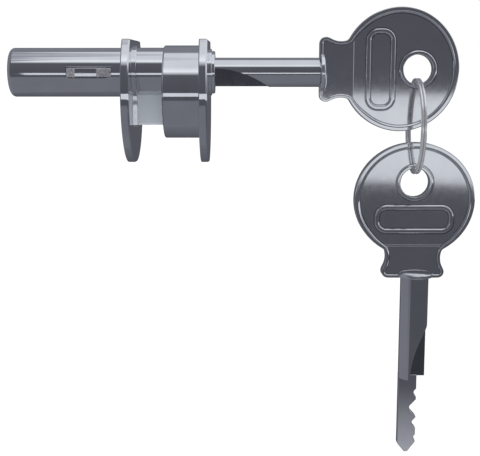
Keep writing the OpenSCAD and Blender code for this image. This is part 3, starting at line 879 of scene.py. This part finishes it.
def blade(shell):
    """Flat blade with one notch for each wafer."""
    top, edge, tip = BLADE_TOP, BLADE_EDGE, BLADE_TIP
    corners = [(BLADE_ROOT, top, 0), (BLADE_ROOT, edge, 0)]
    for i, depth in enumerate(NOTCH_DEPTHS, 1):
        x = -SHANK_L - NOTCH_PITCH * i
        reach = NOTCH_FLAT + NOTCH_FLANK * depth
        corners += [(x + reach, edge, NOTCH_R), (x + NOTCH_FLAT, edge + depth, NOTCH_R)]
        corners += [(x - NOTCH_FLAT, edge + depth, NOTCH_R), (x - reach, edge, NOTCH_R)]
    corners += [(tip + 2.2, edge, 0.3), (tip, 0.7, 0.25), (tip, 1.4, 0.25), (tip + 1.9, top, 0.4)]
    loop = trace(rounded(corners)[::-1])
    shell.plate(loop, -BLADE_HALF, BLADE_HALF, NOTCH_R, NOTCH_R, along_y)


def keys():
    shell = Shell()
    bow(shell)
    shank(shell)
    blade(shell)
    # Slot 1 paints the shade in the milled cut, slot 2 the shade at the feet of rims and beads.
    finishes = [NICKEL_KEY, MILLED_CUT_SHADE, CORNER_SHADE, SOLDER]
    first = Matrix.Translation((FIRST_KEY_X, 0, AXIS_Z))
    hang = Matrix.Rotation(math.radians(-90), 4, "Y")
    second = Matrix.Translation((SECOND_KEY_X, 0, SECOND_KEY_Z)) @ hang
    shell.build("key_in_lock", finishes, "first_key", ["key_1"], first)
    shell.build("spare_key", finishes, "second_key", ["key_2"], second)


def split_ring():
    """Two turns of flat wire that cross over near their ends."""
    shell = Shell()
    cross = math.radians(34)
    start = math.radians(294)
    total = 2 * math.tau - cross - math.radians(2)
    signs = [(-1, -1), (1, -1), (1, 1), (-1, 1)]
    corners = [(u * WIRE_X, v * WIRE_RADIAL, WIRE_EDGE) for u, v in signs]
    section = trace(rounded(corners, step=18))
    rows = []
    n = 260
    for i in range(n + 1):
        t = total * i / n
        s = min(1.0, max(0.0, (t - math.tau + cross) / cross))
        x = -LAYER_X + 2 * LAYER_X * (3 * s * s - 2 * s**3)
        a = start - t
        out = Vector((0, math.cos(a), math.sin(a)))
        centre = Vector((RING_X + x, 0, RING_Z)) + out * RING_R
        row = []
        for q, qn in section:
            row.append((centre + Vector((q.x, 0, 0)) + out * q.y, Vector((qn.x, 0, 0)) + out * qn.y))
        rows.append(row)
    shell.grid(rows, True)
    for row, way in ((rows[0], -1), (rows[-1], 1)):
        a = start if way < 0 else start - total
        facing = Vector((0, math.sin(a), -math.cos(a))) * way
        ids = [shell.point(p, facing) for p, _ in row]
        for i in range(1, len(ids) - 1):
            shell.face([ids[0], ids[i], ids[i + 1]])
    shell.build("split_ring", [WIRE], "ring", ["key_ring"])


casting()
rear_flange()
plunger()
nose()
lug()
lug_leaf()
keys()
split_ring()

SHOWN = {
    "plate_screw": GROUND,
    "guide_pin": GROUND,
    "return_spring": SPRING,
    "tail_bush": BRASS,
    "cam_spindle": BRASS,
    "plug": BRASS,
}
for i in range(1, 5):
    SHOWN[f"wafer_{i}"] = BRASS
    SHOWN[f"wafer_spring_{i}"] = SPRING
for node, material in SHOWN.items():
    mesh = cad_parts[node].data
    mesh.materials.clear()
    mesh.materials.append(material)


def tinted(level):
    """A studio grey, cooler where it is darker."""
    return (level, level * 1.03, level * (1.24 - 0.16 * min(level, 1.0)), 1.0)


def studio_surface(name, rows, material, ends=(-180, 180)):
    """A surface round the object, seen only in its reflections.

    Each row has a radius, a height and the light in front, on the left, on the right and behind.
    """
    n = 480
    points, faces, levels = [], [], []
    for r, z, front, left, right, back in rows:
        up = z / math.hypot(r, z)
        for i in range(n + 1):
            turn = math.radians(ends[0] + (ends[1] - ends[0]) * i / n)
            off = abs(math.degrees(turn))
            side = right if turn > 0 else left
            edge = LOW_LEFT if turn < 0 and up < -0.1 else SIDE
            level = front + (side - front) * ease(off, *edge)
            if up > SHADE_UP:
                across = math.sin(turn) * math.sqrt(1 - up * up)
                shade = SHADE_LEVEL + SHADE_LIFT * max(0.0, (up - SHADE_TOP) / (1 - SHADE_TOP)) ** 2
                start = SHADE_EDGE[0] - SHADE_SPREAD * ease(up, *SHADE_WIDENS)
                level += (min(level, shade) - level) * ease(-across, start, SHADE_EDGE[1])
            level = level + (back - level) * ease(off, *BEHIND)
            points.append((r * math.sin(turn), -r * math.cos(turn), z))
            levels.append(tinted(level))
    for k in range(len(rows) - 1):
        a, b = k * (n + 1), (k + 1) * (n + 1)
        faces += [(a + i, a + i + 1, b + i + 1, b + i) for i in range(n)]
    shape = bpy.data.meshes.new(name)
    shape.from_pydata(points, [], faces)
    light = shape.attributes.new("light", "FLOAT_COLOR", "POINT")
    light.data.foreach_set("color", [v for level in levels for v in level])
    shape.materials.append(material)
    wall = bpy.data.objects.new(name, shape)
    bpy.context.scene.collection.objects.link(wall)
    wall.location = (STUDIO_X, 0, 0)
    for ray in ("camera", "diffuse", "shadow", "transmission", "volume_scatter"):
        setattr(wall, "visible_" + ray, False)


# How far round the front of the studio reaches, and how far on the left below eye level
SIDE = (50, 60)
LOW_LEFT = (34, 40)

# The light overhead stops short on the left: how far up that holds, and where it fades
SHADE_UP = 0.67
SHADE_EDGE = (0.2145, 0.240)
SHADE_SPREAD = 0.014
SHADE_LEVEL = 0.25
SHADE_TOP = 0.91
SHADE_LIFT = 0.5
SHADE_WIDENS = (0.86, 0.92)
STRIP_ENDS = (-20.3, 126)

# Where the wall behind begins, in degrees from the front, and where the studio is centred
BEHIND = (138, 156)
STUDIO_X = 0.008

studio = bpy.data.materials.new("studio_light")
studio.use_nodes = True
studio.node_tree.nodes.clear()
lit = studio.node_tree.nodes.new("ShaderNodeEmission")
stored = studio.node_tree.nodes.new("ShaderNodeAttribute")
stored.attribute_name = "light"
surface = studio.node_tree.nodes.new("ShaderNodeOutputMaterial")
studio.node_tree.links.new(stored.outputs["Color"], lit.inputs["Color"])
studio.node_tree.links.new(lit.outputs[0], surface.inputs["Surface"])
studio.cycles.emission_sampling = "NONE"

# The studio in plain parts, each with one level of light
FLOOR_LIGHT = 0.2
FRONT_WALL = 0.12
LEFT_WALL = 0.22
BACK_WALL = 0.25
WINDOW = 0.85
DARK = 0.1
SOFTBOX = 1.1
CEILING = 0.8

# Elevations in degrees where one part gives way to the next
WALL_FOOT = (-22, -19)
WINDOW_SILL = (-2, 20)
SOFTBOX_EDGE = (42, 52)
CEILING_EDGE = (64, 70)

# Elevation, then the light in front, on the left, on the right and behind
sky = [
    (-89.9, FLOOR_LIGHT, FLOOR_LIGHT, FLOOR_LIGHT, FLOOR_LIGHT),
    (WALL_FOOT[0], FLOOR_LIGHT, LEFT_WALL, DARK, DARK),
    (WALL_FOOT[1], DARK, LEFT_WALL, DARK, DARK),
    (WINDOW_SILL[0], DARK, LEFT_WALL, DARK, DARK),
    (WINDOW_SILL[1], FRONT_WALL, LEFT_WALL, WINDOW, BACK_WALL),
    (SOFTBOX_EDGE[0], FRONT_WALL, LEFT_WALL, WINDOW, BACK_WALL),
    (SOFTBOX_EDGE[1], SOFTBOX, LEFT_WALL, CEILING, BACK_WALL),
    (CEILING_EDGE[0], CEILING, LEFT_WALL, CEILING, BACK_WALL),
    (CEILING_EDGE[1], CEILING, CEILING, CEILING, CEILING),
    (89.9, CEILING, CEILING, CEILING, CEILING),
]
DOME_R = 3
dome = []
for up, *levels in sky:
    t = math.radians(up)
    dome.append((DOME_R * math.cos(t), DOME_R * math.sin(t), *levels))
studio_surface("studio_dome", dome, studio)

# A near wall round the part, and a bright strip along its foot
WALL_R = 0.30
WALL_Z = (-0.0084, 0.234)
STRIP_DROP = 0.044
STRIP_LIGHT = 0.82
wall_rows = [
    (WALL_R, WALL_Z[0], DARK, LEFT_WALL, WINDOW / 2, DARK),
    (WALL_R, WALL_Z[1], FRONT_WALL, LEFT_WALL, WINDOW, BACK_WALL),
]
studio_surface("studio_wall", wall_rows, studio)
strip_levels = (STRIP_LIGHT, STRIP_LIGHT, STRIP_LIGHT, DARK)
strip_rows = [(WALL_R, z, *strip_levels) for z in (WALL_Z[0] - STRIP_DROP, WALL_Z[0])]
studio_surface("studio_strip", strip_rows, studio, STRIP_ENDS)

# A pale card low in front, which lights the spare key's blade from its tip
CARD_R = 0.5
CARD_TOP = (-0.225, 0.1)
CARD_FOOT = (-0.290, 0.6)
CARD_ENDS = (8, 20)
card_rows = [(CARD_R, z, light, light, light, light) for z, light in (CARD_TOP, CARD_FOOT)]
studio_surface("studio_card", card_rows, studio, CARD_ENDS)

FLOOR_Z = -0.0845
FLOOR_HALF = 60
floor_mesh = bpy.data.meshes.new("floor")
floor_corners = [(-1, -1), (1, -1), (1, 1), (-1, 1)]
floor_points = [(u * FLOOR_HALF, v * FLOOR_HALF, 0) for u, v in floor_corners]
floor_mesh.from_pydata(floor_points, [], [(0, 1, 2, 3)])
floor = bpy.data.objects.new("floor", floor_mesh)
bpy.context.scene.collection.objects.link(floor)
floor.location = (0, 0, FLOOR_Z)
paper = bpy.data.materials.new("paper")
paper.use_nodes = True
paper_shader = paper.node_tree.nodes["Principled BSDF"]
paper_shader.inputs["Base Color"].default_value = (0.93, 0.93, 0.93, 1)
paper_shader.inputs["Roughness"].default_value = 1.0
paper_shader.inputs["Specular IOR Level"].default_value = 0.0
floor_mesh.materials.append(paper)
floor.visible_glossy = False

sun = bpy.data.lights.new("sun", "SUN")
sun.energy = 1.75
sun.angle = math.radians(40)
lamp = bpy.data.objects.new("sun", sun)
bpy.context.scene.collection.objects.link(lamp)
lamp.rotation_euler = (math.radians(-12), math.radians(8), 0)
lamp.visible_glossy = False

world = bpy.data.worlds.new("studio")
bpy.context.scene.world = world
world.use_nodes = True
tree = world.node_tree
room = tree.nodes["Background"]
room.inputs["Color"].default_value = (1, 1, 1, 1)
path = tree.nodes.new("ShaderNodeLightPath")
seen = path.outputs["Is Camera Ray"]
for ray in ("Is Glossy Ray", "Is Transmission Ray"):
    both = tree.nodes.new("ShaderNodeMath")
    both.operation = "MAXIMUM"
    tree.links.new(seen, both.inputs[0])
    tree.links.new(path.outputs[ray], both.inputs[1])
    seen = both.outputs[0]
level = tree.nodes.new("ShaderNodeMapRange")
level.inputs["To Min"].default_value = 0.6
level.inputs["To Max"].default_value = 1.0
tree.links.new(seen, level.inputs["Value"])
tree.links.new(level.outputs["Result"], room.inputs["Strength"])

# The camera stands where the photo was taken from: lens in mm, place in metres, pitch in degrees
LENS = 74.74
CAMERA_PLACE = (0.00809, -0.20902, 0.005385)
CAMERA_PITCH = 9.255
view = bpy.data.cameras.new("camera")
view.lens = LENS
view.sensor_width = 36
view.clip_start = 0.01
view.clip_end = 200
camera = bpy.data.objects.new("camera", view)
bpy.context.scene.collection.objects.link(camera)
camera.location = CAMERA_PLACE
camera.rotation_euler = (math.radians(90 - CAMERA_PITCH), 0, 0)
bpy.context.scene.camera = camera
bpy.context.scene.view_settings.view_transform = "Standard"
